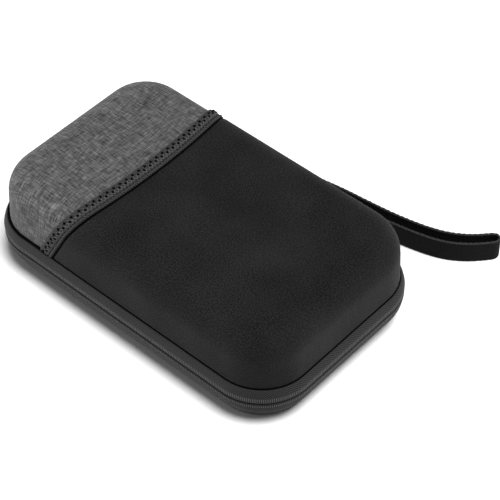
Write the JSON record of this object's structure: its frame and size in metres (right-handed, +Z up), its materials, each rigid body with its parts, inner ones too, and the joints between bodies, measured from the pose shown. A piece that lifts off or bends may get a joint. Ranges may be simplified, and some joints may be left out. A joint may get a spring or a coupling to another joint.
{
  "type": "zip-up hard-shell carrying case",
  "caption": "Hard-shell zip case for a portable launch monitor, with a hinged lid, outer stretch pocket, net pocket, foam recess, zip sliders and wrist strap.",
  "frame": {"origin": "centre of the resting face under the base", "axes": "+X along the case's length, away from the zip sliders; +Y towards the hinge and the wrist strap; +Z up through the lid"},
  "size_m": [0.1929, 0.1611, 0.0545],
  "materials": {
    "base_fabric": "matte woven",
    "eva_foam": "closed-cell foam",
    "lining": "brushed knit",
    "binding_tape": "woven tape",
    "insert_foam": "soft foam",
    "zip_tape": "twill tape",
    "zip_coil": "nylon coil",
    "slider_metal": "black painted zinc",
    "webbing": "woven webbing",
    "lid_fabric": "heather weave",
    "pocket_fabric": "matte stretch knit",
    "pocket_edge": "ribbed edge tape",
    "net": "open mesh",
    "elastic": "ribbed elastic"
  },
  "bodies": {
    "base": {"base_cover": "base_fabric", "base_shell": "eva_foam", "base_lining": "lining", "base_binding": "binding_tape", "foam_insert": "insert_foam", "zip_tape_lower": "zip_tape", "zip_coil_lower": "zip_coil", "zip_stops_lower": "slider_metal", "hinge_web": "zip_tape", "strap_anchor": "webbing", "wrist_strap": "webbing"},
    "lid": {"lid_cover": "lid_fabric", "lid_shell": "eva_foam", "lid_lining": "lining", "lid_binding": "binding_tape", "zip_tape_upper": "zip_tape", "zip_coil_upper": "zip_coil", "zip_stops_upper": "slider_metal", "pocket_panel": "pocket_fabric", "pocket_binding": "pocket_edge", "mesh_pocket": "net", "mesh_pocket_trim": "binding_tape", "mesh_pocket_elastic": "elastic"},
    "slider_a": {"zip_slider_a": "slider_metal"},
    "pull_a": {"zip_pull_a": "slider_metal"},
    "slider_b": {"zip_slider_b": "slider_metal"},
    "pull_b": {"zip_pull_b": "slider_metal"}
  },
  "joints": [
    {"name": "lid_hinge", "type": "hinge", "parent": "base", "child": "lid", "pos_m": [0, 0.056, 0.016], "axis": [-1, 0, 0], "range_deg": [0, 100], "deforming": ["hinge_web"]},
    {"name": "slider_a_slide", "type": "slide", "parent": "base", "child": "slider_a", "axis": [0, -1, 0], "range_m": [0, 0.018]},
    {"name": "pull_a_swing", "type": "hinge", "parent": "slider_a", "child": "pull_a", "pos_m": [-0.09305, -0.0065, 0.016], "axis": [0, 0, -1], "range_deg": [0, 100]},
    {"name": "slider_b_slide", "type": "slide", "parent": "base", "child": "slider_b", "axis": [0, 1, 0], "range_m": [0, 0.018]},
    {"name": "pull_b_swing", "type": "hinge", "parent": "slider_b", "child": "pull_b", "pos_m": [-0.09305, 0.0065, 0.016], "axis": [0, 0, 1], "range_deg": [0, 100]}
  ]
}
